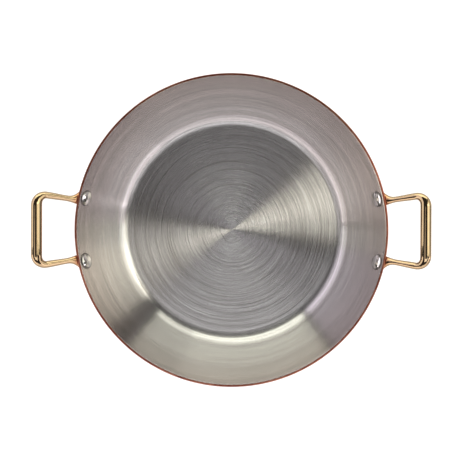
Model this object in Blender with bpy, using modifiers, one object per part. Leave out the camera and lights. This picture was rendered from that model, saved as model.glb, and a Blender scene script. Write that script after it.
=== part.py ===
"""Round two-handled pan: a flared copper shell, its bonded steel lining and two riveted brass loop handles.

Units are metres and +Z is up. The origin is the centre of the underside, and the handles lie along X.
Every turned surface of the pan is one line, the inside of the lining, moved outwards by a distance.
"""

import math

import bmesh
import bpy
from mathutils import Matrix, Vector

# Pan body
RIM_INNER_RADIUS = 0.140
PAN_HEIGHT = 0.057
WALL_LEAN = math.radians(35)
BASE_FILLET = 0.012
LINING_WALL = 0.0003
COPPER_WALL = 0.0017
RIM_ROUND = 0.00025

# Gaps between pieces that touch on the real pan
BOND_GAP = 0.0003
SEAT_GAP = 0.0003
SHANK_GAP = 0.0003

# Rivets, all alike. A handle's two rivets lie this far either side of its middle, and this far down the wall
RIVET_SPREAD = 0.0286
RIVET_DROP = 0.0082
SHANK_RADIUS = 0.0027
HEAD_RADIUS = 0.0073
HEAD_SKIRT = 0.0005
HEAD_DOME = 0.0019
TAIL_RADIUS = 0.0036
TAIL_DOME = 0.0012
SPOT_DEPTH = 0.0002

# Oval foot pads of the handles, each centred on its rivet
PAD_HALF_WIDTH = 0.0088
PAD_TOP_BELOW_RIM = 0.0005
PAD_THICKNESS = 0.0028
PAD_ROUND = 0.0018

# Handle loop, a flat loop that tilts up from the pads and leaves the wall just below the rim
LOOP_RISE = math.radians(30)
LOOP_REACH = 0.0454
LOOP_DROP = 0.0062
LEG_SPLAY = math.radians(8.2)
LEG_INSET = 0.0028
CORNER_RADIUS = 0.0088
LEG_HALF_WIDTH = 0.0027
LEG_HALF_HEIGHT = 0.0028
CORNER_HALF_WIDTH = 0.0032
CORNER_HALF_HEIGHT = 0.0032
GRIP_HALF_WIDTH = 0.0052
GRIP_HALF_HEIGHT = 0.0044
FLARE_HALF_WIDTH = 0.0063
FLARE_LENGTH = 0.0115
NOSE_HALF_HEIGHT = 0.0014

# Fineness of the round shapes
TURN_STEPS = 96
RIVET_STEPS = 24
FILLET_STEPS = 6
DOME_STEPS = 4
SECTION_SIDES = 16
PAD_STEPS = 40
ROUND_STEPS = 3
LEG_STEPS = 3
FLARE_STEPS = 6
CORNER_STEPS = 7

SHELL_INSIDE = LINING_WALL + BOND_GAP
PAN_WALL = SHELL_INSIDE + COPPER_WALL
PAD_HALF_HEIGHT = RIVET_DROP - PAD_TOP_BELOW_RIM
UP_WALL = (math.sin(WALL_LEAN), math.cos(WALL_LEAN))
OUT_OF_WALL = (math.cos(WALL_LEAN), -math.sin(WALL_LEAN))


def clear_scene():
    for obj in list(bpy.data.objects):
        bpy.data.objects.remove(obj, do_unlink=True)


def new_collection(name):
    collection = bpy.data.collections.new(name)
    bpy.context.scene.collection.children.link(collection)
    return collection


def metal(name, colour, roughness):
    material = bpy.data.materials.new(name)
    material.use_nodes = True
    shader = material.node_tree.nodes["Principled BSDF"]
    shader.inputs["Base Color"].default_value = (*colour, 1.0)
    shader.inputs["Metallic"].default_value = 1.0
    shader.inputs["Roughness"].default_value = roughness
    material.diffuse_color = (*colour, 1.0)
    return material


def add_object(name, mesh, collection, material=None):
    obj = bpy.data.objects.new(name, mesh)
    collection.objects.link(obj)
    if material:
        mesh.materials.clear()
        mesh.materials.append(material)
    return obj


def as_guide(obj):
    obj.hide_render = True
    obj.display_type = "WIRE"
    return obj


def baked(obj):
    """The evaluated shape of an object as a mesh of its own, in world space."""
    bpy.context.view_layer.update()
    depsgraph = bpy.context.evaluated_depsgraph_get()
    mesh = bpy.data.meshes.new_from_object(obj.evaluated_get(depsgraph))
    mesh.transform(obj.matrix_world)
    return mesh


def smooth(mesh, crease=math.radians(35)):
    mesh.shade_smooth()
    mesh.set_sharp_from_angle(angle=crease)


def turned(name, profile, collection, material=None, steps=TURN_STEPS):
    """A solid turned about Z from (radius, height) points that run from the axis out and down to the axis."""
    mesh = bpy.data.meshes.new(name)
    points = [(radius, 0.0, height) for radius, height in profile]
    mesh.from_pydata(points, [(k, k + 1) for k in range(len(points) - 1)], [])
    obj = add_object(name, mesh, collection, material)
    screw = obj.modifiers.new("turn", "SCREW")
    screw.axis = "Z"
    screw.steps = steps
    screw.render_steps = steps
    screw.use_merge_vertices = True
    screw.merge_threshold = 0.00001
    return obj


def boolean(obj, operation, other):
    modifier = obj.modifiers.new(other.name, "BOOLEAN")
    modifier.operation = operation
    modifier.object = other
    modifier.solver = "EXACT"


def arc(centre, radius, start, stop, steps):
    """Points of an arc, with angles counted from straight down towards +X."""
    angles = [start + (stop - start) * k / steps for k in range(steps + 1)]
    return [(centre[0] + radius * math.sin(a), centre[1] - radius * math.cos(a)) for a in angles]


def rim_radius(offset):
    """Radius at the rim of the surface that lies this far outside the lining's inner face."""
    return RIM_INNER_RADIUS + offset / math.cos(WALL_LEAN)


def pan_line(offset):
    """The same surface from the axis to the rim: flat base, fillet and straight leaning wall."""
    fillet_height = PAN_WALL + BASE_FILLET
    wall_radius = RIM_INNER_RADIUS - (PAN_HEIGHT - fillet_height) * math.tan(WALL_LEAN)
    centre = (wall_radius - BASE_FILLET / math.cos(WALL_LEAN), fillet_height)
    fillet = arc(centre, BASE_FILLET + offset, 0.0, math.pi / 2 - WALL_LEAN, FILLET_STEPS)
    return [(0.0, PAN_WALL - offset), *fillet, (rim_radius(offset), PAN_HEIGHT)]


def wall_point(offset, drop):
    """(radius, height) on the wall, this far outside the lining's inner face and this far down the wall."""
    radius = RIM_INNER_RADIUS - drop * UP_WALL[0] + offset * OUT_OF_WALL[0]
    height = PAN_HEIGHT - drop * UP_WALL[1] + offset * OUT_OF_WALL[1]
    return radius, height


def steel_lining(collection, material):
    return turned("steel_lining", pan_line(0.0) + pan_line(LINING_WALL)[::-1], collection, material)


def copper_shell(collection, material):
    inside = pan_line(SHELL_INSIDE)
    outside = pan_line(PAN_WALL)[::-1]
    turn = math.pi - (math.pi / 2 - WALL_LEAN)
    setback = RIM_ROUND * math.tan(turn / 2)
    lip = (outside[0][0] - setback, PAN_HEIGHT - RIM_ROUND)
    rim = arc(lip, RIM_ROUND, math.pi, math.pi - turn, DOME_STEPS)
    return turned("copper_shell", inside + rim + outside[1:], collection, material)


def rivet_angle():
    """Angle round the pan between a rivet and the middle of its handle."""
    return math.asin(RIVET_SPREAD / wall_point(0.0, RIVET_DROP)[0])


def rivet_frame(side):
    """Seat of a rivet on the lining, in the frame of its handle: +Z points into the pan, side is +1 or -1."""
    radius, height = wall_point(0.0, RIVET_DROP)
    angle = side * rivet_angle()
    inwards = Vector((-OUT_OF_WALL[0] * math.cos(angle), -OUT_OF_WALL[0] * math.sin(angle), -OUT_OF_WALL[1]))
    along_rim = Vector((-math.sin(angle), math.cos(angle), 0.0))
    up_wall = inwards.cross(along_rim)
    turn = Matrix((along_rim, up_wall, inwards)).transposed().to_4x4()
    return Matrix.Translation((radius * math.cos(angle), radius * math.sin(angle), height)) @ turn


def curve_rise(half_width):
    """How far the round wall at the rivets comes up to a flat face of this half width."""
    radius, _ = wall_point(0.0, RIVET_DROP)
    return half_width**2 * math.cos(WALL_LEAN) / (2 * radius)


def dome(radius, base, height):
    """Points of a shallow dome from its edge to its crown, height above base."""
    sphere = (radius**2 + height**2) / (2 * height)
    half_angle = math.asin(radius / sphere)
    angles = [half_angle * (1 - k / DOME_STEPS) for k in range(DOME_STEPS + 1)]
    return [(sphere * math.sin(a), base + height - sphere * (1 - math.cos(a))) for a in angles]


def pad_face():
    """Height of the pads' outer face on the rivet axis, counted from the rivet's seat."""
    return -(PAN_WALL + SEAT_GAP + PAD_THICKNESS)


def rivet_mesh(scratch):
    head_seat = SEAT_GAP + curve_rise(HEAD_RADIUS)
    head = dome(HEAD_RADIUS, head_seat + HEAD_SKIRT, HEAD_DOME)[::-1]
    head[-1] = (HEAD_RADIUS, head_seat + HEAD_SKIRT)
    tail_seat = pad_face() + SPOT_DEPTH - SEAT_GAP
    tail = [(radius, 2 * tail_seat - height) for radius, height in dome(TAIL_RADIUS, tail_seat, TAIL_DOME)]
    shank = [(HEAD_RADIUS, head_seat), (SHANK_RADIUS, head_seat), (SHANK_RADIUS, tail_seat)]
    rivet = turned("rivet", head + shank + tail, scratch, steps=RIVET_STEPS)
    mesh = baked(as_guide(rivet))
    smooth(mesh)
    return mesh


def upright(shape, radius, low, high, segments):
    """Adds a cylinder on the Z axis, from low to high, to a bmesh."""
    bmesh.ops.create_cone(
        shape,
        cap_ends=True,
        segments=segments,
        radius1=radius,
        radius2=radius,
        depth=high - low,
        matrix=Matrix.Translation((0.0, 0.0, (high + low) / 2)),
    )


def guide_from(shape, name, place, collection):
    mesh = bpy.data.meshes.new(name)
    shape.to_mesh(mesh)
    shape.free()
    obj = add_object(name, mesh, collection)
    obj.matrix_world = place
    return as_guide(obj)


def cutter(name, radius, low, high, place, collection):
    """A cylinder from low to high on a rivet's axis."""
    shape = bmesh.new()
    upright(shape, radius, low, high, RIVET_STEPS)
    return guide_from(shape, name, place, collection)


def foot_pad(name, place, collection):
    """An oval pad that ends inside the pan's wall, with its outer edge rounded over."""
    low = pad_face()
    high = COPPER_WALL - PAN_WALL
    shape = bmesh.new()
    upright(shape, PAD_HALF_HEIGHT, low, high, PAD_STEPS)
    bmesh.ops.scale(shape, vec=(PAD_HALF_WIDTH / PAD_HALF_HEIGHT, 1.0, 1.0), verts=shape.verts)
    edge = [e for e in shape.edges if all(v.co.z < (high + low) / 2 for v in e.verts)]
    bmesh.ops.bevel(shape, geom=edge, offset=PAD_ROUND, segments=ROUND_STEPS, profile=0.5, affect="EDGES")
    return guide_from(shape, name, place, collection)


def pad_across():
    """How far a pad's middle lies from the middle of the handle, on the outside of the wall."""
    return wall_point(PAN_WALL, RIVET_DROP)[0] * math.sin(rivet_angle())


def loop_start():
    """(x, height) where the loop's centre plane leaves the outside of the wall, beside the rivets."""
    radius, height = wall_point(PAN_WALL, LOOP_DROP)
    return math.sqrt(radius**2 - pad_across() ** 2), height


def eased(share):
    """Smooth step from 0 to 1."""
    share = min(max(share, 0.0), 1.0)
    return share * share * (3 - 2 * share)


def blended(start, stop, share):
    return start + (stop - start) * share


def half_loop():
    """Stations of one leg and its corner: (along, across, heading, half width, half height)."""
    stations = []
    leg_across = pad_across() - LEG_INSET
    nose = LOOP_DROP * math.sin(WALL_LEAN) / math.cos(LOOP_RISE)
    leg_start = nose + FLARE_LENGTH
    corner_along = LOOP_REACH - CORNER_RADIUS * (1 + math.sin(LEG_SPLAY))
    leg_length = corner_along - leg_start
    flare_stations = [nose + FLARE_LENGTH * k / FLARE_STEPS for k in range(FLARE_STEPS + 1)]
    leg_stations = [leg_start + leg_length * k / LEG_STEPS for k in range(1, LEG_STEPS)]
    for along in [0.0, nose / 2, *flare_stations, *leg_stations]:
        flare = (1 - min(max((along - nose) / FLARE_LENGTH, 0.0), 1.0)) ** 2
        growth = eased((along - leg_start) / leg_length)
        leg_width = blended(LEG_HALF_WIDTH, CORNER_HALF_WIDTH, growth)
        leg_height = blended(LEG_HALF_HEIGHT, CORNER_HALF_HEIGHT, growth)
        width = blended(leg_width, FLARE_HALF_WIDTH, flare)
        height = blended(NOSE_HALF_HEIGHT, leg_height, eased(along / (2 * nose)))
        across = blended(leg_across + along * math.tan(LEG_SPLAY), pad_across(), flare)
        stations.append((along, across, LEG_SPLAY, width, height))
    corner_across = leg_across + corner_along * math.tan(LEG_SPLAY)
    centre = (
        corner_along + CORNER_RADIUS * math.sin(LEG_SPLAY),
        corner_across - CORNER_RADIUS * math.cos(LEG_SPLAY),
    )
    for k in range(CORNER_STEPS + 1):
        heading = LEG_SPLAY - (LEG_SPLAY + math.pi / 2) * k / CORNER_STEPS
        growth = eased(k / CORNER_STEPS)
        stations.append(
            (
                centre[0] - CORNER_RADIUS * math.sin(heading),
                centre[1] + CORNER_RADIUS * math.cos(heading),
                heading,
                blended(CORNER_HALF_WIDTH, GRIP_HALF_WIDTH, growth),
                blended(CORNER_HALF_HEIGHT, GRIP_HALF_HEIGHT, growth),
            )
        )
    return stations


def section_ring(shape, station):
    """A closed ring of an oval section, in the loop's own plane: X along the reach, Y across it."""
    along, across, heading, half_width, half_height = station
    sideways = Vector((-math.sin(heading), math.cos(heading), 0.0))
    corners = []
    for k in range(SECTION_SIDES):
        angle = 2 * math.pi * k / SECTION_SIDES
        lift = Vector((0.0, 0.0, half_height * math.sin(angle)))
        middle = Vector((along, across, 0.0))
        corners.append(shape.verts.new(middle + sideways * half_width * math.cos(angle) + lift))
    return [shape.edges.new((corners[k - 1], corners[k])) for k in range(SECTION_SIDES)]


def loop_mesh():
    """The loop as a loft through its oval sections, from one foot round to the other."""
    stations = half_loop()
    for along, across, heading, half_width, half_height in stations[::-1]:
        stations.append((along, -across, math.pi - heading, half_width, half_height))
    shape = bmesh.new()
    rings = [section_ring(shape, station) for station in stations]
    for ring, following in zip(rings, rings[1:]):
        bmesh.ops.bridge_loops(shape, edges=ring + following)
    bmesh.ops.holes_fill(shape, edges=rings[0] + rings[-1])
    bmesh.ops.recalc_face_normals(shape, faces=shape.faces)
    mesh = bpy.data.meshes.new("loop")
    shape.to_mesh(mesh)
    shape.free()
    return mesh


def pan_envelope(scratch):
    """The pan as a solid with the seat gap added, which shapes the backs of the pads."""
    line = pan_line(PAN_WALL + SEAT_GAP)
    overrun = BASE_FILLET
    top = (line[-1][0] + overrun * math.tan(WALL_LEAN), PAN_HEIGHT + overrun)
    return as_guide(turned("pan_envelope", [(0.0, top[1]), top, *line[-2:0:-1], line[0]], scratch))


def handle_mesh(scratch):
    """One cast handle: two pads, the loop between them, bored and spot-faced for its two rivets."""
    radius, height = loop_start()
    loop = as_guide(add_object("loop", loop_mesh(), scratch))
    loop.matrix_world = Matrix.Translation((radius, 0.0, height)) @ Matrix.Rotation(-LOOP_RISE, 4, "Y")
    for side in (1, -1):
        boolean(loop, "UNION", foot_pad(f"pad_{side}", rivet_frame(side), scratch))
    boolean(loop, "DIFFERENCE", pan_envelope(scratch))
    face = pad_face()
    beyond = face - LEG_HALF_HEIGHT - GRIP_HALF_HEIGHT
    for side in (1, -1):
        place = rivet_frame(side)
        bore = cutter(f"bore_{side}", SHANK_RADIUS + SHANK_GAP, beyond, 0.0, place, scratch)
        seat = face + SPOT_DEPTH
        spot_face = cutter(f"spot_face_{side}", TAIL_RADIUS + SHANK_GAP, beyond, seat, place, scratch)
        boolean(loop, "DIFFERENCE", bore)
        boolean(loop, "DIFFERENCE", spot_face)
    mesh = baked(loop)
    smooth(mesh)
    return mesh


def side_frame(name, angle, collection):
    """An empty on the pan's axis that turns a handle and its rivets to their side."""
    empty = bpy.data.objects.new(name, None)
    empty.rotation_euler.z = angle
    collection.objects.link(empty)
    return empty


def drill_pan(pieces, scratch):
    """Bores the four rivet holes through the lining and the shell."""
    reach = PAN_WALL + HEAD_RADIUS
    for turn, side_name in ((0.0, "right"), (math.pi, "left")):
        for side in (1, -1):
            place = Matrix.Rotation(turn, 4, "Z") @ rivet_frame(side)
            name = f"drill_{side_name}_{side}"
            drill = cutter(name, SHANK_RADIUS + SHANK_GAP, -reach, reach, place, scratch)
            for piece in pieces:
                boolean(piece, "DIFFERENCE", drill)


def main():
    clear_scene()
    pan = new_collection("round_serving_pan")
    scratch = new_collection("guides")
    copper = metal("polished_copper", (0.81, 0.42, 0.26), 0.22)
    steel = metal("brushed_steel", (0.56, 0.55, 0.53), 0.34)
    brass = metal("polished_brass", (0.78, 0.56, 0.28), 0.12)
    rivet_steel = metal("rivet_steel", (0.62, 0.61, 0.60), 0.18)

    lining = steel_lining(pan, steel)
    shell = copper_shell(pan, copper)
    drill_pan((lining, shell), scratch)

    handle = handle_mesh(scratch)
    rivet = rivet_mesh(scratch)
    for side_name, angle in (("right", 0.0), ("left", math.pi)):
        frame = side_frame(f"{side_name}_side", angle, pan)
        add_object(f"handle_{side_name}", handle, pan, brass).parent = frame
        for end_name, side in (("back", 1), ("front", -1)):
            if side_name == "left":
                side = -side
            piece = add_object(f"rivet_{side_name}_{end_name}", rivet, pan, rivet_steel)
            piece.parent = frame
            piece.matrix_local = rivet_frame(side)
    bpy.context.view_layer.update()


main()
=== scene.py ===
"""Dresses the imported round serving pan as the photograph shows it.

A flared copper pan with a steel lining that is brushed in circles, and two cast brass loop handles, each on
two domed steel rivets. Units are metres, +Z is up, the origin is the middle of the underside, and the handles
lie along X. Every turned face of the pan is one line, the inside of the lining, moved outwards by a distance.
"""

import math

import bmesh
import bpy
from mathutils import Matrix, Vector, noise


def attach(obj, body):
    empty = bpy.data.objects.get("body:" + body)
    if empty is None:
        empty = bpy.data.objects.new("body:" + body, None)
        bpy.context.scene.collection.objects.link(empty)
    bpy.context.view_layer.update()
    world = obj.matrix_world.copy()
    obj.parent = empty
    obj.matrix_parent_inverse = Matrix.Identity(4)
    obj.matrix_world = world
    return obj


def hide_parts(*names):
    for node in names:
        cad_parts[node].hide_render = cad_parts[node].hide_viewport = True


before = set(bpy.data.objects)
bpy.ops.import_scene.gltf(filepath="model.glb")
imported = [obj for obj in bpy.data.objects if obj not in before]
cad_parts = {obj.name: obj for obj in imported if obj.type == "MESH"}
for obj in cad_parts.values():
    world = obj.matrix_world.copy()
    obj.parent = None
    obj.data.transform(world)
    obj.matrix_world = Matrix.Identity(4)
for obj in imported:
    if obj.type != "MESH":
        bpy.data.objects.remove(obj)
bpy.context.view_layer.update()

MM = 0.001
BODY = "root"

# The pan, in the sizes of its solids. The lining fills their bond gap as well, all but 0.02 mm of it
RIM_INNER_RADIUS = 140 * MM
PAN_HEIGHT = 57 * MM
PAN_WALL = 2.3 * MM
SHELL_INSIDE = 0.6 * MM
LINING_WALL = 0.58 * MM
LINING_EDGE = 0.18 * MM
COPPER_EDGE = 0.35 * MM

# The bend from the base starts tight and gets slower as it climbs, up to the straight top of the wall. The
# top leans out by less than the solids' straight wall, and ends at the same rim. The base rises to its middle
WALL_LEAN = math.radians(31.5)
BEND_RADIUS = 10 * MM
BEND_SLOPE = math.radians(30)
TOE_RADIUS = 22 * MM
TOE_SLOPE = math.radians(53)
BASE_DOME = 1.0 * MM
STRAIGHT_WALL = 17.5 * MM

# Rivets, the room round them and the blows that shaped them
RIVET_SPREAD = 28.6 * MM
RIVET_DROP = 8.2 * MM
SHANK_RADIUS = 2.9 * MM
HOLE_RADIUS = 3.0 * MM
HEAD_RADIUS = 7.3 * MM
HEAD_SKIRT = 1.1 * MM
HEAD_DOME = 1.2 * MM
HEAD_EDGE = 0.8 * MM
TAIL_RADIUS = 3.6 * MM
TAIL_DOME = 1.2 * MM
SPOT_DEPTH = 0.2 * MM
HAIRLINE = 0.03 * MM
HAMMER_SPACING = 3.2 * MM
HAMMER_DEPTH = 0.07 * MM
HAMMER_STRIDE = 7.3

# Oval foot pads of the handles
PAD_HALF_WIDTH = 8.8 * MM
PAD_HALF_HEIGHT = 7.7 * MM
PAD_THICKNESS = 2.8 * MM
PAD_ROUND = 1.8 * MM
SEAT_GAP = 0.3 * MM

# Handle loop
LOOP_RISE = math.radians(30)
LOOP_REACH = 45.15 * MM
LOOP_DROP = 6.2 * MM
LEG_SPLAY = math.radians(8.2)
LEG_INSET = 2.8 * MM
CORNER_RADIUS = 8.8 * MM
LEG_HALF_WIDTH = 2.7 * MM
LEG_HALF_HEIGHT = 2.8 * MM
CORNER_HALF_WIDTH = 3.2 * MM
CORNER_HALF_HEIGHT = 3.2 * MM
GRIP_HALF_WIDTH = 5.2 * MM
GRIP_HALF_HEIGHT = 4.4 * MM
FLARE_HALF_WIDTH = 6.3 * MM
FLARE_LENGTH = 11.5 * MM
NOSE_HALF_HEIGHT = 1.4 * MM

# Fineness of the visible meshes
MERGE_DISTANCE = 0.001 * MM
CREASE = math.radians(40)
TURN_STEPS = 288
RING_SPACING = 2 * MM
BEND_STEPS = 14
EDGE_STEPS = 4
SECTION_SIDES = 48
LOOP_STEP = 0.8 * MM
CASTING_VOXEL = 0.36 * MM
CASTING_SMOOTHING = 9
CASTING_SOFTNESS = 0.5
PAD_ROUND_STEPS = 6
RIVET_STEPS = 72
DOME_RINGS = 16
FLOOR_STEPS = 96

UP_WALL = (math.sin(WALL_LEAN), math.cos(WALL_LEAN))
OUT_OF_WALL = (math.cos(WALL_LEAN), -math.sin(WALL_LEAN))


# Lines of the pan, as (radius, height) points

def arc(centre, radius, start, stop, steps):
    """Points of an arc, with angles counted from straight down towards +X."""
    angles = [start + (stop - start) * k / steps for k in range(steps + 1)]
    return [(centre[0] + radius * math.sin(a), centre[1] - radius * math.cos(a)) for a in angles]


def spaced(start, stop):
    """Points from start up to but without stop, no more than the ring spacing apart."""
    count = max(1, math.ceil(math.dist(start, stop) / RING_SPACING))
    return [tuple(a + (b - a) * k / count for a, b in zip(start, stop)) for k in range(count)]


def rim_radius(offset):
    return RIM_INNER_RADIUS + offset / math.cos(WALL_LEAN)


def pan_line(offset):
    """The turned face this far outside the lining's inner face, from the axis to the rim."""
    top_slope = math.pi / 2 - WALL_LEAN
    bend_rise = BEND_RADIUS * (1 - math.cos(BEND_SLOPE))
    toe_rise = TOE_RADIUS * (math.cos(BEND_SLOPE) - math.cos(TOE_SLOPE))
    straight_rise = STRAIGHT_WALL * math.cos(WALL_LEAN)
    wall_rise = PAN_HEIGHT - PAN_WALL - bend_rise - toe_rise - straight_rise
    wall_radius = wall_rise / (math.cos(TOE_SLOPE) - math.cos(top_slope))
    bends = [
        (BEND_RADIUS, 0.0, BEND_SLOPE),
        (TOE_RADIUS, BEND_SLOPE, TOE_SLOPE),
        (wall_radius, TOE_SLOPE, top_slope),
    ]
    width = sum(radius * (math.sin(stop) - math.sin(start)) for radius, start, stop in bends)
    across = RIM_INNER_RADIUS - STRAIGHT_WALL * math.sin(WALL_LEAN) - width
    height = PAN_WALL
    flat = spaced((0.0, PAN_WALL - offset), (across, PAN_WALL - offset))
    line = [(x, z + BASE_DOME * (1 - (x / across) ** 2)) for x, z in flat]
    for radius, start, stop in bends:
        centre = (across - radius * math.sin(start), height + radius * math.cos(start))
        line += arc(centre, radius + offset, start, stop, BEND_STEPS)[:-1]
        across = centre[0] + radius * math.sin(stop)
        height = centre[1] - radius * math.cos(stop)
    top = (across + offset * OUT_OF_WALL[0], height + offset * OUT_OF_WALL[1])
    rim = (rim_radius(offset), PAN_HEIGHT)
    return [*line, *spaced(top, rim), rim]


def wall_point(offset, drop):
    """(radius, height) on the wall, this far outside the lining's inner face and this far down the wall."""
    radius = RIM_INNER_RADIUS - drop * UP_WALL[0] + offset * OUT_OF_WALL[0]
    height = PAN_HEIGHT - drop * UP_WALL[1] + offset * OUT_OF_WALL[1]
    return radius, height


def eased_rim(inner, outer, edge):
    """The closed wall section between two lines of the pan, with its two rim edges rounded."""
    rising = math.pi / 2 - WALL_LEAN
    sharp_turn = math.pi - rising
    inner_setback = edge * math.tan(rising / 2)
    outer_setback = edge * math.tan(sharp_turn / 2)
    inner_centre = (inner[-1][0] + inner_setback, PAN_HEIGHT - edge)
    outer_centre = (outer[-1][0] - outer_setback, PAN_HEIGHT - edge)
    inner_arc = arc(inner_centre, edge, math.pi + rising, math.pi, EDGE_STEPS)
    outer_arc = arc(outer_centre, edge, math.pi, math.pi - sharp_turn, EDGE_STEPS)
    return [*inner[:-1], *inner_arc, *outer_arc, *outer[-2::-1]]


# Meshes

def turned(shape, line, steps):
    """Turns (radius, height) points that begin and end on the axis into a closed solid."""
    corners = [shape.verts.new((radius, 0.0, height)) for radius, height in line]
    edges = [shape.edges.new(pair) for pair in zip(corners, corners[1:])]
    bmesh.ops.spin(
        shape,
        geom=corners + edges,
        axis=(0.0, 0.0, 1.0),
        angle=2 * math.pi,
        steps=steps,
        use_merge=True,
    )
    bmesh.ops.remove_doubles(shape, verts=shape.verts, dist=MERGE_DISTANCE)
    bmesh.ops.recalc_face_normals(shape, faces=shape.faces)


def cylinder(shape, radius, low, high, place=Matrix()):
    """Adds a closed cylinder along Z of the place, from low to high."""
    bmesh.ops.create_cone(
        shape,
        cap_ends=True,
        segments=RIVET_STEPS,
        radius1=radius,
        radius2=radius,
        depth=high - low,
        matrix=place @ Matrix.Translation((0.0, 0.0, (high + low) / 2)),
    )


def new_object(name, shape):
    mesh = bpy.data.meshes.new(name)
    shape.to_mesh(mesh)
    shape.free()
    obj = bpy.data.objects.new(name, mesh)
    bpy.context.scene.collection.objects.link(obj)
    return obj


def joined(obj, operation, tool):
    modifier = obj.modifiers.new(tool.name, "BOOLEAN")
    modifier.operation = operation
    modifier.object = tool
    modifier.solver = "EXACT"


def settled(obj, tools):
    """Bakes an object's modifiers into its mesh, and removes the tools that they used."""
    bpy.context.view_layer.update()
    depsgraph = bpy.context.evaluated_depsgraph_get()
    mesh = bpy.data.meshes.new_from_object(obj.evaluated_get(depsgraph))
    obj.modifiers.clear()
    obj.data = mesh
    for tool in tools:
        bpy.data.objects.remove(tool, do_unlink=True)
    return obj


def smoothed(obj):
    obj.data.shade_smooth()
    obj.data.set_sharp_from_angle(angle=CREASE)
    return obj


def rivet_angle():
    """Angle round the pan between a rivet and the middle of its handle."""
    return math.asin(RIVET_SPREAD / wall_point(0.0, RIVET_DROP)[0])


def rivet_frame(turn, side):
    """Seat of a rivet on the lining, +Z into the pan: side is +1 or -1, of the handle at this turn."""
    radius, height = wall_point(0.0, RIVET_DROP)
    inwards = Vector((-OUT_OF_WALL[0], 0.0, -OUT_OF_WALL[1]))
    along_rim = Vector((0.0, 1.0, 0.0))
    axes = Matrix((along_rim, inwards.cross(along_rim), inwards)).transposed().to_4x4()
    round_pan = Matrix.Rotation(turn + side * rivet_angle(), 4, "Z")
    return round_pan @ Matrix.Translation((radius, 0.0, height)) @ axes


HANDLE_TURNS = {"right": 0.0, "left": math.pi}
RIVET_SIDES = {"right": {"back": 1, "front": -1}, "left": {"back": -1, "front": 1}}


def wall_piece(name, inner_offset, outer_offset, edge):
    """The lining or the shell: a turned wall with a hole for each rivet."""
    shape = bmesh.new()
    turned(shape, eased_rim(pan_line(inner_offset), pan_line(outer_offset), edge), TURN_STEPS)
    piece = new_object(name, shape)
    drill = bmesh.new()
    for turn in HANDLE_TURNS.values():
        for side in (1, -1):
            cylinder(drill, HOLE_RADIUS, -HEAD_RADIUS, HEAD_RADIUS, rivet_frame(turn, side))
    tool = new_object(f"{name}_drill", drill)
    joined(piece, "DIFFERENCE", tool)
    return smoothed(settled(piece, [tool]))


def eased(share):
    """Smooth step from 0 to 1."""
    share = min(max(share, 0.0), 1.0)
    return share * share * (3 - 2 * share)


def blended(start, stop, share):
    return start + (stop - start) * share


def pad_across():
    """How far a pad's middle lies from the middle of the handle, on the outside of the wall."""
    return wall_point(PAN_WALL, RIVET_DROP)[0] * math.sin(rivet_angle())


def pad_face():
    """Height of the pads' outer face on the rivet's axis, counted from the rivet's seat."""
    return -(PAN_WALL + SEAT_GAP + PAD_THICKNESS)


def half_loop():
    """Stations of one leg and its corner: (along, across, heading, half width, half height)."""
    stations = []
    leg_across = pad_across() - LEG_INSET
    nose = LOOP_DROP * math.sin(WALL_LEAN) / math.cos(LOOP_RISE)
    leg_start = nose + FLARE_LENGTH
    corner_along = LOOP_REACH - CORNER_RADIUS * (1 + math.sin(LEG_SPLAY))
    leg_length = corner_along - leg_start
    leg_steps = round(corner_along / LOOP_STEP)
    for k in range(leg_steps):
        along = corner_along * k / leg_steps
        flare = (1 - min(max((along - nose) / FLARE_LENGTH, 0.0), 1.0)) ** 2
        growth = eased((along - leg_start) / leg_length)
        leg_width = blended(LEG_HALF_WIDTH, CORNER_HALF_WIDTH, growth)
        leg_height = blended(LEG_HALF_HEIGHT, CORNER_HALF_HEIGHT, growth)
        width = blended(leg_width, FLARE_HALF_WIDTH, flare)
        height = blended(NOSE_HALF_HEIGHT, leg_height, eased(along / (2 * nose)))
        across = blended(leg_across + along * math.tan(LEG_SPLAY), pad_across(), flare)
        stations.append((along, across, LEG_SPLAY, width, height))
    corner_across = leg_across + corner_along * math.tan(LEG_SPLAY)
    centre_along = corner_along + CORNER_RADIUS * math.sin(LEG_SPLAY)
    centre_across = corner_across - CORNER_RADIUS * math.cos(LEG_SPLAY)
    corner_turn = LEG_SPLAY + math.pi / 2
    corner_steps = round(CORNER_RADIUS * corner_turn / LOOP_STEP)
    for k in range(corner_steps + 1):
        heading = LEG_SPLAY - corner_turn * k / corner_steps
        growth = eased(k / corner_steps)
        along = centre_along - CORNER_RADIUS * math.sin(heading)
        across = centre_across + CORNER_RADIUS * math.cos(heading)
        width = blended(CORNER_HALF_WIDTH, GRIP_HALF_WIDTH, growth)
        height = blended(CORNER_HALF_HEIGHT, GRIP_HALF_HEIGHT, growth)
        stations.append((along, across, heading, width, height))
    return stations


def loop_shape():
    """The loop lofted through its oval sections, in its own plane: X along the reach, Y across it."""
    stations = half_loop()
    for along, across, heading, width, height in stations[::-1]:
        stations.append((along, -across, math.pi - heading, width, height))
    shape = bmesh.new()
    rings = []
    for along, across, heading, width, height in stations:
        place = Matrix.Translation((along, across, 0.0)) @ Matrix.Rotation(heading, 4, "Z")
        upright = Matrix.Rotation(math.pi / 2, 4, "Y") @ Matrix.Diagonal((height, width, 1.0, 1.0))
        made = bmesh.ops.create_circle(shape, segments=SECTION_SIDES, radius=1.0, matrix=place @ upright)
        rings.append(list({edge for vert in made["verts"] for edge in vert.link_edges}))
    for ring, following in zip(rings, rings[1:]):
        bmesh.ops.bridge_loops(shape, edges=ring + following)
    bmesh.ops.holes_fill(shape, edges=rings[0] + rings[-1])
    bmesh.ops.recalc_face_normals(shape, faces=shape.faces)
    return shape


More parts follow.
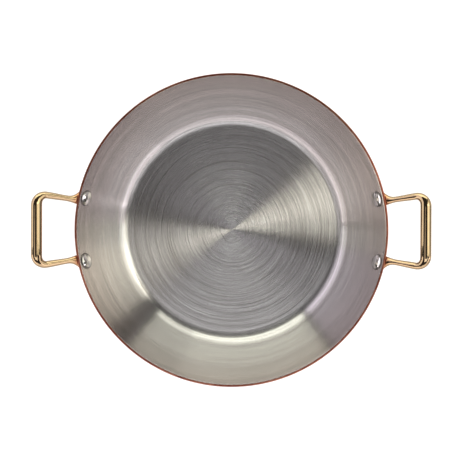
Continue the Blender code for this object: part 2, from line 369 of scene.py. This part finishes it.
def foot_pad(name, place):
    """An oval pad that ends inside the pan's wall, with its outer edge rounded over."""
    shape = bmesh.new()
    low = pad_face()
    cylinder(shape, PAD_HALF_HEIGHT, low, SHELL_INSIDE - PAN_WALL)
    bmesh.ops.scale(shape, vec=(PAD_HALF_WIDTH / PAD_HALF_HEIGHT, 1.0, 1.0), verts=shape.verts)
    edges = [e for e in shape.edges if all(v.co.z < low + HAIRLINE for v in e.verts)]
    bmesh.ops.bevel(
        shape,
        geom=edges,
        offset=PAD_ROUND,
        segments=PAD_ROUND_STEPS,
        profile=0.5,
        affect="EDGES",
        material=-1,
    )
    bmesh.ops.transform(shape, matrix=place, verts=shape.verts)
    return new_object(name, shape)


def pan_envelope(gap):
    """The pan as a solid with a gap added, which shapes the backs of the pads."""
    line = pan_line(PAN_WALL + gap)
    overrun = BEND_RADIUS
    top = (line[-1][0] + overrun * math.tan(WALL_LEAN), PAN_HEIGHT + overrun)
    shape = bmesh.new()
    turned(shape, [*line, top, (0.0, top[1])], TURN_STEPS)
    return new_object("pan_envelope", shape)


def handle_casting():
    """The cast handle on +X: the loop and its two pads melted into one, then seated, bored and spot-faced."""
    shape = loop_shape()
    radius, height = wall_point(PAN_WALL, LOOP_DROP)
    start = Matrix.Translation((math.sqrt(radius**2 - pad_across() ** 2), 0.0, height))
    bmesh.ops.transform(shape, matrix=start @ Matrix.Rotation(-LOOP_RISE, 4, "Y"), verts=shape.verts)
    casting = new_object("casting", shape)
    pads = [foot_pad(f"pad_{side}", rivet_frame(0.0, side)) for side in (1, -1)]
    for pad in pads:
        joined(casting, "UNION", pad)
    melt = casting.modifiers.new("melt", "REMESH")
    melt.mode = "VOXEL"
    melt.voxel_size = CASTING_VOXEL
    soften = casting.modifiers.new("soften", "SMOOTH")
    soften.factor = CASTING_SOFTNESS
    soften.iterations = CASTING_SMOOTHING
    settled(casting, pads)
    seat = pan_envelope(HAIRLINE)
    joined(casting, "DIFFERENCE", seat)
    tools = [seat]
    face = pad_face()
    beyond = face - LEG_HALF_HEIGHT - GRIP_HALF_HEIGHT
    for side in (1, -1):
        place = rivet_frame(0.0, side)
        bore = bmesh.new()
        cylinder(bore, HOLE_RADIUS, beyond, 0.0, place)
        tools.append(new_object(f"bore_{side}", bore))
        spot = bmesh.new()
        cylinder(spot, TAIL_RADIUS + SEAT_GAP, beyond - HAIRLINE, face + SPOT_DEPTH, place)
        tools.append(new_object(f"spot_face_{side}", spot))
    for tool in tools[1:]:
        joined(casting, "DIFFERENCE", tool)
    return smoothed(settled(casting, tools))


def turned_copy(name, obj, turn):
    """A copy of an object, turned round the pan's axis in its mesh."""
    copy = bpy.data.objects.new(name, obj.data.copy())
    copy.data.transform(Matrix.Rotation(turn, 4, "Z"))
    bpy.context.scene.collection.objects.link(copy)
    return copy


def dome(radius, base, height):
    """Points of a shallow dome from its crown to its edge, which lies at the base height."""
    sphere = (radius**2 + height**2) / (2 * height)
    half_angle = math.asin(radius / sphere)
    angles = [half_angle * k / DOME_RINGS for k in range(DOME_RINGS + 1)]
    return [(sphere * math.sin(a), base + height - sphere * (1 - math.cos(a))) for a in angles]


def rivet(name, place, seed):
    """A rivet hammered into shape: a domed head that fits the wall, its shank, and a small closed tail."""
    radius, _ = wall_point(0.0, RIVET_DROP)
    head = dome(HEAD_RADIUS - HEAD_EDGE, HEAD_SKIRT, HEAD_DOME)
    lip_centre = (HEAD_RADIUS - HEAD_EDGE, HEAD_SKIRT - HEAD_EDGE)
    lip = arc(lip_centre, HEAD_EDGE, math.pi, math.pi / 2, 2 * EDGE_STEPS)
    tail_seat = pad_face() + SPOT_DEPTH - HAIRLINE
    shank = [(HEAD_RADIUS, 0.0), (SHANK_RADIUS, 0.0), (SHANK_RADIUS, tail_seat)]
    tail = [(r, 2 * tail_seat - h) for r, h in dome(TAIL_RADIUS, tail_seat, TAIL_DOME)[::-1]]
    shape = bmesh.new()
    turned(shape, [*head[:-1], *lip, *shank, *tail], RIVET_STEPS)
    crown = shape.verts.layers.float.new("crown")
    for vert in shape.verts:
        vert[crown] = 1 - math.hypot(vert.co.x, vert.co.y) / HEAD_RADIUS
        spot = vert.co / HAMMER_SPACING + Vector((0.0, 0.0, seed))
        blow = noise.noise(spot) * HAMMER_DEPTH
        if vert.co.z > HEAD_SKIRT - HEAD_EDGE / 2 or vert.co.z < tail_seat - HAIRLINE:
            vert.co.z += blow
        elif abs(vert.co.z) < HAIRLINE:
            vert.co.z = HAIRLINE + vert.co.x**2 * math.cos(WALL_LEAN) / (2 * radius)
    bmesh.ops.transform(shape, matrix=place, verts=shape.verts)
    return smoothed(new_object(name, shape))


# Materials. A Map Range node reads the range from input 1 to input 2, and gives the one from 3 to 4

# Spacing of the marks in each finish
BELT_LINES = 0.6 * MM
BELT_BITES = 1.1 * MM
BELT_BANDS = 9 * MM
TURNING_MARKS = 1.1 * MM
COPPER_CLOUDS = 38 * MM
COPPER_SPECKS = 4 * MM
CAST_RIPPLE = 7 * MM
BUFFING_HAIRLINES = 0.7 * MM
BRASS_PATCHES = 5 * MM
RIVET_DENTS = 2.6 * MM
RIVET_SCRATCHES = 0.5 * MM

# Keeps the outward direction defined on the axis, and makes height count as length along the wall's slope
AXIS_CLEARANCE = 0.01 * MM
RUN_PER_HEIGHT = 0.7


def colour(code):
    """An sRGB hex colour as linear red, green, blue and alpha."""
    parts = [int(code[k : k + 2], 16) / 255 for k in (1, 3, 5)]
    linear = [c / 12.92 if c <= 0.04045 else ((c + 0.055) / 1.055) ** 2.4 for c in parts]
    return (*linear, 1.0)


def node(tree, kind, inputs=None, give=0, **settings):
    """Adds a node and hands back one of its outputs. An input takes a value, or the output that feeds it."""
    added = tree.nodes.new(kind)
    for name, value in settings.items():
        setattr(added, name, value)
    for socket, given in (inputs or {}).items():
        if isinstance(given, bpy.types.NodeSocket):
            tree.links.new(given, added.inputs[socket])
        else:
            added.inputs[socket].default_value = given
    return added.outputs[give] if added.outputs else None


def new_material(name, preview):
    material = bpy.data.materials.new(name)
    material.use_nodes = True
    material.node_tree.nodes.clear()
    material.diffuse_color = colour(preview)
    return material


def round_the_axis(tree):
    """(outward direction, distance from the axis, height, about the length along the pan's section)."""
    place = node(tree, "ShaderNodeTexCoord", give="Object")
    flat = node(tree, "ShaderNodeVectorMath", {0: place, 1: (1.0, 1.0, 0.0)}, operation="MULTIPLY")
    clear = node(tree, "ShaderNodeVectorMath", {0: flat, 1: (AXIS_CLEARANCE, 0.0, 0.0)}, operation="ADD")
    outwards = node(tree, "ShaderNodeVectorMath", {0: clear}, operation="NORMALIZE")
    distance = node(tree, "ShaderNodeVectorMath", {0: flat}, give="Value", operation="LENGTH")
    height = node(tree, "ShaderNodeSeparateXYZ", {0: place}, give="Z")
    run = node(tree, "ShaderNodeMath", {0: height, 1: RUN_PER_HEIGHT, 2: distance}, operation="MULTIPLY_ADD")
    return outwards, distance, height, run


def turning_lines(tree, outwards, run, spacing, arcs, detail=2.0):
    """Noise drawn out round the axis: lines this far apart, broken into about this many arcs to the turn."""
    scale = arcs / (2 * math.pi)
    round_part = node(tree, "ShaderNodeVectorMath", {0: outwards, "Scale": scale}, operation="SCALE")
    across = node(tree, "ShaderNodeMath", {0: run, 1: spacing}, operation="DIVIDE")
    upright = node(tree, "ShaderNodeCombineXYZ", {2: across})
    spot = node(tree, "ShaderNodeVectorMath", {0: round_part, 1: upright}, operation="ADD")
    inputs = {"Vector": spot, "Scale": 1.0, "Detail": detail, "Roughness": 0.6}
    return node(tree, "ShaderNodeTexNoise", inputs)


def brushed_lining():
    """18/10 stainless steel, ground in circles with a fine belt: light fans out from the middle as from a
    record, crossed on the base by arcs where the belt bit deeper. The belt's lines are really 0.1 mm apart,
    and are drawn coarser so that they show."""
    material = new_material("stainless_steel_ground_in_circles", "#BFBDBA")
    tree = material.node_tree
    outwards, distance, height, run = round_the_axis(tree)
    fine = turning_lines(tree, outwards, run, BELT_LINES, arcs=8.0, detail=3.0)
    arcs = turning_lines(tree, outwards, run, BELT_BITES, arcs=5.0)
    bands = turning_lines(tree, outwards, run, BELT_BANDS, arcs=2.5)
    on_base = node(
        tree, "ShaderNodeMapRange", {"Value": distance, 1: 92 * MM, 2: 104 * MM, 3: 1.0, 4: 0.5}
    )
    deep = node(tree, "ShaderNodeMapRange", {"Value": arcs, 1: 0.3, 2: 0.7, 3: -1.3, 4: 1.3})
    even = node(tree, "ShaderNodeMapRange", {"Value": fine, 1: 0.3, 2: 0.7, 3: -1.7, 4: 1.7})
    broad = node(tree, "ShaderNodeMapRange", {"Value": bands, 1: 0.3, 2: 0.7, 3: -0.4, 4: 0.4})
    both = node(tree, "ShaderNodeMath", {0: deep, 1: even}, operation="ADD")
    cut = node(tree, "ShaderNodeMath", {0: both, 1: on_base}, operation="MULTIPLY")
    tone = node(tree, "ShaderNodeMath", {0: cut, 1: broad}, operation="ADD")
    # Painted highlight: the base's colour is lighter towards the middle, fading out 62 mm from the axis
    painted_highlight_near_axis = node(tree, "ShaderNodeMapRange", {"Value": distance, 1: 8 * MM, 2: 62 * MM, 3: 1.4, 4: 0.0})
    tone_and_painted_highlight = node(tree, "ShaderNodeMath", {0: tone, 1: painted_highlight_near_axis}, operation="ADD")
    shade = node(tree, "ShaderNodeMath", {0: on_base, 1: -1.1, 2: tone_and_painted_highlight}, operation="MULTIPLY_ADD")
    share = node(tree, "ShaderNodeMapRange", {"Value": shade, 1: -2.6, 2: 1.6, 3: 0.0, 4: 1.0})
    ground = node(
        tree,
        "ShaderNodeMix",
        {"Factor": share, "A": colour("#9C9794"), "B": colour("#DEDAD7")},
        give="Result",
        data_type="RGBA",
    )
    # Painted shade: the wall's colour grows darker and pinker from 16 mm up to the rim
    painted_shade_up_wall = node(tree, "ShaderNodeMapRange", {"Value": height, 1: 16 * MM, 2: PAN_HEIGHT, 3: 0.0, 4: 1.0})
    base = node(
        tree,
        "ShaderNodeMix",
        {"Factor": painted_shade_up_wall, "A": ground, "B": colour("#E5DDDA")},
        give="Result",
        data_type="RGBA",
        blend_type="MULTIPLY",
    )
    finer = node(tree, "ShaderNodeMapRange", {"Value": distance, 1: 93 * MM, 2: 102 * MM, 3: 0.26, 4: 0.235})
    roughness = node(tree, "ShaderNodeMath", {0: tone, 1: -0.012, 2: finer}, operation="MULTIPLY_ADD")
    bump = node(tree, "ShaderNodeBump", {"Height": cut, "Strength": 0.5, "Distance": 0.006 * MM})
    shader = node(
        tree,
        "ShaderNodeBsdfPrincipled",
        {
            "Base Color": base,
            "Metallic": 1.0,
            "Roughness": roughness,
            "Anisotropic": 1.0,
            "Tangent": outwards,
            "Normal": bump,
        },
    )
    node(tree, "ShaderNodeOutputMaterial", {"Surface": shader})
    return material


def spun_copper():
    """Copper, spun over a former and polished: a warm mirror with faint turning marks. Air and heat have
    browned the cut edge of the rim, the foot of the wall and the underside in soft clouds."""
    material = new_material("copper_spun_and_polished", "#D99A7B")
    tree = material.node_tree
    outwards, _, height, run = round_the_axis(tree)
    place = node(tree, "ShaderNodeTexCoord", give="Object")
    marks = turning_lines(tree, outwards, run, TURNING_MARKS, arcs=5.0, detail=3.0)
    clouds = node(tree, "ShaderNodeTexNoise", {"Vector": place, "Scale": 1 / COPPER_CLOUDS, "Detail": 4.0})
    specks = node(tree, "ShaderNodeTexNoise", {"Vector": place, "Scale": 1 / COPPER_SPECKS, "Detail": 5.0})
    on_foot = node(tree, "ShaderNodeMapRange", {"Value": height, 1: 2 * MM, 2: 26 * MM, 3: 0.55, 4: 0.0})
    on_rim = node(tree, "ShaderNodeMapRange", {"Value": height, 1: 56.2 * MM, 2: 56.7 * MM, 3: 0.0, 4: 0.75})
    dulled = node(tree, "ShaderNodeMath", {0: on_foot, 1: on_rim}, operation="ADD")
    cloudy = node(tree, "ShaderNodeMapRange", {"Value": clouds, 1: 0.4, 2: 0.65, 3: 0.0, 4: 0.35})
    speckled = node(tree, "ShaderNodeMapRange", {"Value": specks, 1: 0.45, 2: 0.75, 3: 0.0, 4: 0.25})
    mottled = node(tree, "ShaderNodeMath", {0: cloudy, 1: speckled}, operation="ADD")
    film = node(tree, "ShaderNodeMath", {0: dulled, 1: mottled}, operation="ADD", use_clamp=True)
    base = node(
        tree,
        "ShaderNodeMix",
        {"Factor": film, "A": colour("#E3A587"), "B": colour("#7F4535")},
        give="Result",
        data_type="RGBA",
    )
    roughness = node(tree, "ShaderNodeMapRange", {"Value": film, 1: 0.0, 2: 1.0, 3: 0.16, 4: 0.32})
    bump = node(tree, "ShaderNodeBump", {"Height": marks, "Strength": 0.4, "Distance": 0.02 * MM})
    shader = node(
        tree,
        "ShaderNodeBsdfPrincipled",
        {
            "Base Color": base,
            "Metallic": 1.0,
            "Roughness": roughness,
            "Anisotropic": 0.6,
            "Tangent": outwards,
            "Normal": bump,
        },
    )
    node(tree, "ShaderNodeOutputMaterial", {"Surface": shader})
    return material


def buffed_brass():
    """Brass, sand cast and buffed by hand: a golden mirror with a slight ripple and hairline scratches. Near
    the wall it turns red-brown: partly patina where the buffing wheel doesn't reach, partly painted crevice
    shade."""
    material = new_material("brass_cast_and_buffed", "#D8B07A")
    tree = material.node_tree
    _, distance, _, _ = round_the_axis(tree)
    place = node(tree, "ShaderNodeTexCoord", give="Object")
    ripple = node(tree, "ShaderNodeTexNoise", {"Vector": place, "Scale": 1 / CAST_RIPPLE, "Detail": 1.0})
    stretched = node(tree, "ShaderNodeVectorMath", {0: place, 1: (1.0, 0.25, 1.0)}, operation="MULTIPLY")
    hairlines = node(
        tree, "ShaderNodeTexNoise", {"Vector": stretched, "Scale": 1 / BUFFING_HAIRLINES, "Detail": 4.0}
    )
    patches = node(tree, "ShaderNodeTexNoise", {"Vector": place, "Scale": 1 / BRASS_PATCHES, "Detail": 3.0})
    # Red-brown close to the wall: partly patina, partly painted shade in the crevice where the feet meet the
    # wall
    patina_and_painted_shade_by_wall = node(
        tree, "ShaderNodeMapRange", {"Value": distance, 1: 142.5 * MM, 2: 147 * MM, 3: 0.75, 4: 0.0}
    )
    uneven = node(tree, "ShaderNodeMapRange", {"Value": patches, 1: 0.35, 2: 0.65, 3: 0.6, 4: 1.1})
    film = node(tree, "ShaderNodeMath", {0: patina_and_painted_shade_by_wall, 1: uneven}, operation="MULTIPLY", use_clamp=True)
    clean = node(
        tree,
        "ShaderNodeMix",
        {"Factor": patches, "A": colour("#978062"), "B": colour("#A68F70")},
        give="Result",
        data_type="RGBA",
    )
    base = node(
        tree,
        "ShaderNodeMix",
        {"Factor": film, "A": clean, "B": colour("#8A4F2C")},
        give="Result",
        data_type="RGBA",
    )
    worn = node(tree, "ShaderNodeMapRange", {"Value": hairlines, 1: 0.35, 2: 0.7, 3: 0.035, 4: 0.075})
    roughness = node(tree, "ShaderNodeMath", {0: film, 1: 0.16, 2: worn}, operation="MULTIPLY_ADD")
    rippled = node(tree, "ShaderNodeBump", {"Height": ripple, "Strength": 0.2, "Distance": 0.08 * MM})
    bump = node(
        tree,
        "ShaderNodeBump",
        {"Height": hairlines, "Strength": 0.1, "Distance": 0.001 * MM, "Normal": rippled},
    )
    shader = node(
        tree,
        "ShaderNodeBsdfPrincipled",
        {"Base Color": base, "Metallic": 1.0, "Roughness": roughness, "Normal": bump},
    )
    node(tree, "ShaderNodeOutputMaterial", {"Surface": shader})
    return material


def hammered_rivet_steel():
    """Stainless steel wire, hammered into heads: bright dents with soft edges and fine scratches, and a dark
    ring of painted shade round the edge of each head, where it meets the wall."""
    material = new_material("stainless_steel_hammered_and_polished", "#C9C6C2")
    tree = material.node_tree
    place = node(tree, "ShaderNodeTexCoord", give="Object")
    crown = node(tree, "ShaderNodeAttribute", give="Fac", attribute_name="crown")
    dents = node(tree, "ShaderNodeTexNoise", {"Vector": place, "Scale": 1 / RIVET_DENTS, "Detail": 0.5})
    scratches = node(
        tree, "ShaderNodeTexNoise", {"Vector": place, "Scale": 1 / RIVET_SCRATCHES, "Detail": 4.0}
    )
    # Painted shade: a dark ring round the edge of the head, where it meets the wall
    painted_edge_shade = node(tree, "ShaderNodeMapRange", {"Value": crown, 1: 0.03, 2: 0.22, 3: 0.95, 4: 0.0})
    base = node(
        tree,
        "ShaderNodeMix",
        {"Factor": painted_edge_shade, "A": colour("#D2CECB"), "B": colour("#47403B")},
        give="Result",
        data_type="RGBA",
    )
    roughness = node(tree, "ShaderNodeMapRange", {"Value": scratches, 1: 0.35, 2: 0.7, 3: 0.04, 4: 0.1})
    dented = node(tree, "ShaderNodeBump", {"Height": dents, "Strength": 0.5, "Distance": 0.25 * MM})
    bump = node(
        tree,
        "ShaderNodeBump",
        {"Height": scratches, "Strength": 0.2, "Distance": 0.004 * MM, "Normal": dented},
    )
    shader = node(
        tree,
        "ShaderNodeBsdfPrincipled",
        {"Base Color": base, "Metallic": 1.0, "Roughness": roughness, "Normal": bump},
    )
    node(tree, "ShaderNodeOutputMaterial", {"Surface": shader})
    return material


# Assembly

def seated(piece, material, cad_node):
    piece.data.materials.clear()
    piece.data.materials.append(material)
    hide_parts(cad_node)
    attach(piece, BODY)


def dress_pan():
    steel = brushed_lining()
    copper = spun_copper()
    brass = buffed_brass()
    rivet_steel = hammered_rivet_steel()
    lining = wall_piece("brushed_lining", 0.0, LINING_WALL, LINING_EDGE)
    seated(lining, steel, "steel_lining")
    shell = wall_piece("spun_copper_body", SHELL_INSIDE, PAN_WALL, COPPER_EDGE)
    seated(shell, copper, "copper_shell")
    casting = handle_casting()
    for side_name, turn in HANDLE_TURNS.items():
        handle = turned_copy(f"cast_handle_{side_name}", casting, turn)
        seated(handle, brass, f"handle_{side_name}")
        for count, (end_name, side) in enumerate(RIVET_SIDES[side_name].items()):
            seed = count * HAMMER_STRIDE + turn
            piece = rivet(f"domed_rivet_{side_name}_{end_name}", rivet_frame(turn, side), seed)
            seated(piece, rivet_steel, f"rivet_{side_name}_{end_name}")
    bpy.data.objects.remove(casting, do_unlink=True)


# Floor, camera and light

FLOOR_RADIUS = 60.0
FLOOR_DROP = 0.2 * MM
PAPER_GREY = (0.35, 0.35, 0.35, 1.0)
PAPER_ROUGHNESS = 0.9
PAPER_GLOW = 0.8


def lay_floor():
    """White paper that reaches the horizon, and shows as pale to the camera and in the metals."""
    shape = bmesh.new()
    bmesh.ops.create_circle(shape, cap_ends=True, segments=FLOOR_STEPS, radius=FLOOR_RADIUS)
    bmesh.ops.translate(shape, vec=(0.0, 0.0, -FLOOR_DROP), verts=shape.verts)
    floor = new_object("floor", shape)
    material = new_material("matt_white_paper", "#F4F4F4")
    tree = material.node_tree
    to_camera = node(tree, "ShaderNodeLightPath", give="Is Camera Ray")
    to_gloss = node(tree, "ShaderNodeLightPath", give="Is Glossy Ray")
    to_glass = node(tree, "ShaderNodeLightPath", give="Is Transmission Ray")
    direct = node(tree, "ShaderNodeMath", {0: to_camera, 1: to_gloss}, operation="MAXIMUM")
    seen = node(tree, "ShaderNodeMath", {0: direct, 1: to_glass}, operation="MAXIMUM")
    glow = node(tree, "ShaderNodeMath", {0: seen, 1: PAPER_GLOW}, operation="MULTIPLY")
    paper = node(
        tree,
        "ShaderNodeBsdfPrincipled",
        {
            "Base Color": PAPER_GREY,
            "Roughness": PAPER_ROUGHNESS,
            "Emission Color": (1.0, 1.0, 1.0, 1.0),
            "Emission Strength": glow,
        },
    )
    node(tree, "ShaderNodeOutputMaterial", {"Surface": paper})
    floor.data.materials.append(material)


CAMERA_PLACE = Vector((0.0337, 0.0257, 1.6))
CAMERA_AIM = Vector((-0.001, 0.0002, PAN_HEIGHT))
CAMERA_LENS = 133.2
CAMERA_SENSOR = 36.0
CAMERA_ROLL = math.radians(0.2)


def set_camera():
    data = bpy.data.cameras.new("camera")
    data.lens = CAMERA_LENS
    data.sensor_width = CAMERA_SENSOR
    camera = bpy.data.objects.new("camera", data)
    bpy.context.scene.collection.objects.link(camera)
    look = CAMERA_PLACE - CAMERA_AIM
    right = Vector((0.0, 1.0, 0.0)).cross(look).normalized()
    up = look.cross(right).normalized()
    turn = Matrix((right, up, look.normalized())).transposed().to_4x4()
    camera.matrix_world = Matrix.Translation(CAMERA_PLACE) @ turn @ Matrix.Rotation(CAMERA_ROLL, 4, "Z")
    bpy.context.scene.camera = camera


# Soft boxes round the pan: name, from and to in degrees round the axis, (distance from the axis, height) of
# the lower and upper edge in metres, radiance and colour. The gaps between them give the steel its dark fans
SOFT_BOXES = [
    ("right_foot", 6, 38, (0.55, 0.12), (0.55, 0.35), 1.51, "#FFFFF1"),
    ("right_tall", 8, 21, (0.55, 0.35), (0.55, 0.9), 2.65, "#FFFFF1"),
    ("right_side", 21, 30, (0.55, 0.35), (0.55, 0.9), 2.0, "#FFFFF1"),
    ("right_wing", 30, 39.5, (0.55, 0.35), (0.55, 0.9), 1.25, "#FFFFF1"),
    ("right_edge", -4, 8, (0.55, 0.2), (0.55, 0.7), 1.73, "#FAFFFA"),
    ("right_top", 8, 24, (0.55, 0.9), (0.55, 1.3), 3.13, "#FFFFF1"),
    ("right_high", -7, 30, (0.95, 0.9), (0.75, 1.15), 2.7, "#FFFFF1"),
    ("right_over", -7, 30, (0.72, 1.2), (0.4, 1.4), 2.81, "#FFFFF1"),
    ("high_wing", 30, 38, (0.95, 0.9), (0.75, 1.15), 1.73, "#FFFFF1"),
    ("over_wing", 30, 38, (0.72, 1.2), (0.4, 1.4), 1.84, "#FFFFF1"),
    ("back_right", 49, 70, (1.0, 0.1), (1.0, 0.6), 3.6, "#FAFFF2"),
    ("back_middle", 70, 100, (1.0, 0.1), (1.0, 0.78), 3.7, "#FAFFF2"),
    ("back_left", 100, 131.5, (1.0, 0.1), (1.0, 0.78), 3.7, "#FAFFF2"),
    ("left_back", 134, 172, (1.0, 0.1), (1.0, 0.85), 2.16, "#F7F2FF"),
    ("left_edge", 172, 182.5, (1.0, 0.1), (1.0, 0.7), 2.27, "#FCFCFF"),
    ("front_left", 184, 218, (1.0, 0.1), (1.0, 0.6), 2.7, "#FFF8FC"),
    ("front_corner", 218, 250, (1.0, 0.1), (1.0, 0.6), 2.7, "#FFF8FC"),
    ("front_middle", 250, 280, (1.0, 0.1), (1.0, 0.76), 2.05, "#FFFAFE"),
    ("front_centre", 280, 310, (1.0, 0.1), (1.0, 0.76), 2.05, "#FFFAFE"),
    ("front_right", 310, 347, (1.0, 0.3), (1.0, 0.85), 2.81, "#FFFAFE"),
    ("front_edge", 345, 356, (0.9, 0.1), (0.9, 0.5), 2.81, "#FFFAFE"),
    ("over_left", 180, 225, (0.72, 1.2), (0.4, 1.4), 1.35, "#FEFCFF"),
    ("over_front", 225, 305, (0.72, 1.2), (0.4, 1.4), 2.7, "#F8FAFF"),
    ("over_corner", 305, 340, (0.72, 1.2), (0.4, 1.4), 1.73, "#F8FAFF"),
]


def soft_box(name, start, stop, foot, head, radiance, code):
    """A flat area lamp that faces the axis, from its foot up to its head."""
    turn = math.radians((start + stop) / 2)
    distance = (foot[0] + head[0]) / 2
    data = bpy.data.lights.new(name, "AREA")
    data.shape = "RECTANGLE"
    data.size = 2 * distance * math.tan(math.radians(stop - start) / 2)
    data.size_y = math.dist(foot, head)
    data.energy = radiance * math.pi * data.size * data.size_y
    data.color = colour(code)[:3]
    lamp = bpy.data.objects.new(name, data)
    bpy.context.scene.collection.objects.link(lamp)
    outwards = Vector((math.cos(turn), math.sin(turn), 0.0))
    lamp.location = outwards * distance + Vector((0.0, 0.0, (foot[1] + head[1]) / 2))
    facing = Vector((0.0, 0.0, head[0] - foot[0])) - outwards * (head[1] - foot[1])
    lamp.rotation_euler = facing.to_track_quat("-Z", "Y").to_euler()
    lamp.visible_camera = False


ROOM_GREY = "#484848"


def light_scene():
    """Soft boxes in a dim grey room."""
    for box in SOFT_BOXES:
        soft_box(*box)
    world = bpy.data.worlds.new("dim_room")
    world.use_nodes = True
    world.node_tree.nodes["Background"].inputs["Color"].default_value = colour(ROOM_GREY)
    bpy.context.scene.world = world


dress_pan()
lay_floor()
set_camera()
light_scene()
bpy.context.scene.view_settings.view_transform = "Standard"
